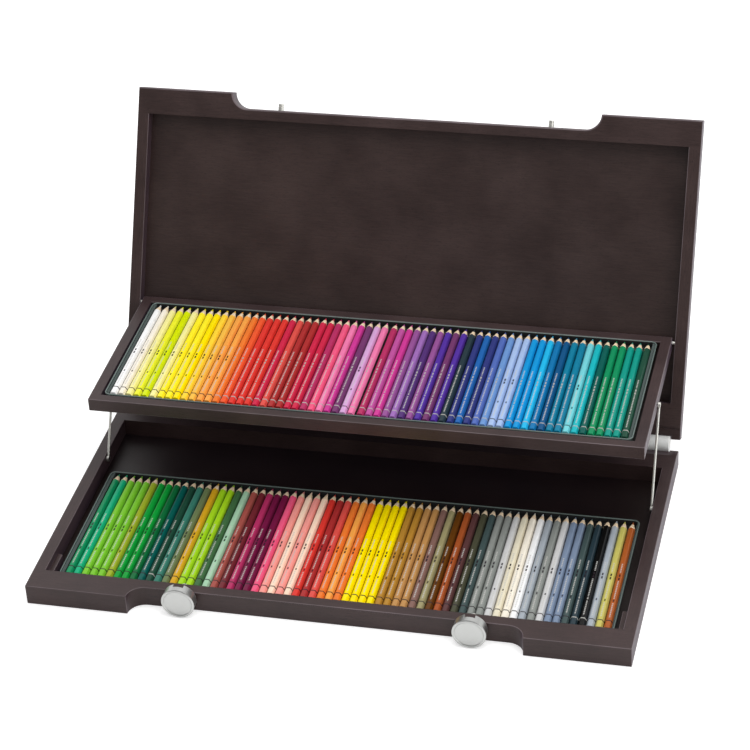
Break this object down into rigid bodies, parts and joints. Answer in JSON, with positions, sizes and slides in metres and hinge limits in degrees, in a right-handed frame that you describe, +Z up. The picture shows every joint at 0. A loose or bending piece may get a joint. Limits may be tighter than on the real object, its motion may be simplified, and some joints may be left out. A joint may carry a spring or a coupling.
{
  "type": "pencil drawer box",
  "caption": "Hinged dark wooden case with a finger recess and turn knobs: a tin of pencils lies in the base and another in a tray that rises level on link rods as the lid opens.",
  "frame": {"origin": "Centre of the base's underside, on the table that the case stands on.", "axes": "+X right, seen from the front; +Y to the hinge side; +Z up."},
  "size_m": [0.62, 0.521, 0.3277],
  "materials": {
    "case_wood": "dark stained, matt lacquer with open grain",
    "tin_enamel": "grey green enamel on sheet steel",
    "liner_foam": "black foam pad",
    "satin_steel": "satin wire and turned steel",
    "satin_aluminium": "satin turned aluminium",
    "bushing_brass": "plain turned",
    "lacquer_green": "gloss coloured lacquer over cedar, sharpened end bare",
    "lacquer_dark_green": "gloss coloured lacquer over cedar, sharpened end bare",
    "lacquer_berry": "gloss coloured lacquer over cedar, sharpened end bare",
    "lacquer_coral": "gloss coloured lacquer over cedar, sharpened end bare",
    "lacquer_yellow": "gloss coloured lacquer over cedar, sharpened end bare",
    "lacquer_brown": "gloss coloured lacquer over cedar, sharpened end bare",
    "lacquer_grey": "gloss coloured lacquer over cedar, sharpened end bare",
    "lacquer_slate": "gloss coloured lacquer over cedar, sharpened end bare",
    "lacquer_lemon": "gloss coloured lacquer over cedar, sharpened end bare",
    "lacquer_orange": "gloss coloured lacquer over cedar, sharpened end bare",
    "lacquer_red": "gloss coloured lacquer over cedar, sharpened end bare",
    "lacquer_pink": "gloss coloured lacquer over cedar, sharpened end bare",
    "lacquer_purple": "gloss coloured lacquer over cedar, sharpened end bare",
    "lacquer_blue": "gloss coloured lacquer over cedar, sharpened end bare",
    "lacquer_cyan": "gloss coloured lacquer over cedar, sharpened end bare",
    "lacquer_teal": "gloss coloured lacquer over cedar, sharpened end bare"
  },
  "bodies": {
    "base": {"base_front_rail": "case_wood", "base_rear_rail": "case_wood", "base_left_wall": "case_wood", "base_right_wall": "case_wood", "base_floor": "case_wood", "rest_blocks": "case_wood", "lower_tin": "tin_enamel", "lower_tin_liner": "liner_foam", "left_hinge_base_leaf": "satin_aluminium", "right_hinge_base_leaf": "satin_aluminium", "left_hinge_pin": "satin_steel", "right_hinge_pin": "satin_steel", "base_hinge_screws": "satin_steel", "rod_foot_pins": "satin_steel", "knob_bushings": "bushing_brass", "lower_pencils_green": "lacquer_green", "lower_pencils_dark_green": "lacquer_dark_green", "lower_pencils_berry": "lacquer_berry", "lower_pencils_coral": "lacquer_coral", "lower_pencils_yellow": "lacquer_yellow", "lower_pencils_brown": "lacquer_brown", "lower_pencils_grey": "lacquer_grey", "lower_pencils_slate": "lacquer_slate"},
    "lid": {"lid_front_rail": "case_wood", "lid_rear_rail": "case_wood", "lid_left_wall": "case_wood", "lid_right_wall": "case_wood", "lid_panel": "case_wood", "latch_pins": "satin_steel", "tray_pivot_pins": "satin_steel", "left_hinge_lid_leaf": "satin_aluminium", "right_hinge_lid_leaf": "satin_aluminium", "lid_hinge_screws": "satin_steel"},
    "upper_tray": {"tray_front_rail": "case_wood", "tray_rear_rail": "case_wood", "tray_left_rail": "case_wood", "tray_right_rail": "case_wood", "tray_floor": "case_wood", "upper_tin": "tin_enamel", "upper_tin_liner": "liner_foam", "rod_head_pins": "satin_steel", "upper_pencils_lemon": "lacquer_lemon", "upper_pencils_orange": "lacquer_orange", "upper_pencils_red": "lacquer_red", "upper_pencils_pink": "lacquer_pink", "upper_pencils_purple": "lacquer_purple", "upper_pencils_blue": "lacquer_blue", "upper_pencils_cyan": "lacquer_cyan", "upper_pencils_teal": "lacquer_teal"},
    "left_rod": {"left_rod": "satin_steel"},
    "right_rod": {"right_rod": "satin_steel"},
    "left_knob": {"left_knob": "satin_aluminium", "left_knob_spindle": "satin_steel", "left_knob_ring": "satin_steel"},
    "right_knob": {"right_knob": "satin_aluminium", "right_knob_spindle": "satin_steel", "right_knob_ring": "satin_steel"}
  },
  "joints": [
    {"name": "lid_hinge", "type": "hinge", "parent": "base", "child": "lid", "pos_m": [0, 0.1747, 0.0226], "axis": [1, 0, 0], "range_deg": [0, 117.7]},
    {"name": "tray_pivot", "type": "hinge", "parent": "lid", "child": "upper_tray", "pos_m": [0, 0.22774, 0.11696], "axis": [1, 0, 0], "range_deg": [-117.7, 0]},
    {"name": "left_rod_pivot", "type": "hinge", "parent": "base", "child": "left_rod", "pos_m": [-0.29565, 0.065, 0.017], "axis": [1, 0, 0], "range_deg": [0, 117.7]},
    {"name": "right_rod_pivot", "type": "hinge", "parent": "base", "child": "right_rod", "pos_m": [0.29565, 0.065, 0.017], "axis": [1, 0, 0], "range_deg": [0, 117.7]},
    {"name": "left_knob_turn", "type": "hinge", "parent": "base", "child": "left_knob", "pos_m": [-0.149, -0.157, 0.0178], "axis": [0, 1, 0], "range_deg": [0, 90]},
    {"name": "right_knob_turn", "type": "hinge", "parent": "base", "child": "right_knob", "pos_m": [0.149, -0.157, 0.0178], "axis": [0, 1, 0], "range_deg": [0, 90]}
  ],
  "couplings": [
    {"joint": "tray_pivot", "follows": "lid_hinge", "ratio": -1},
    {"joint": "left_rod_pivot", "follows": "lid_hinge", "ratio": 1},
    {"joint": "right_rod_pivot", "follows": "lid_hinge", "ratio": 1}
  ]
}
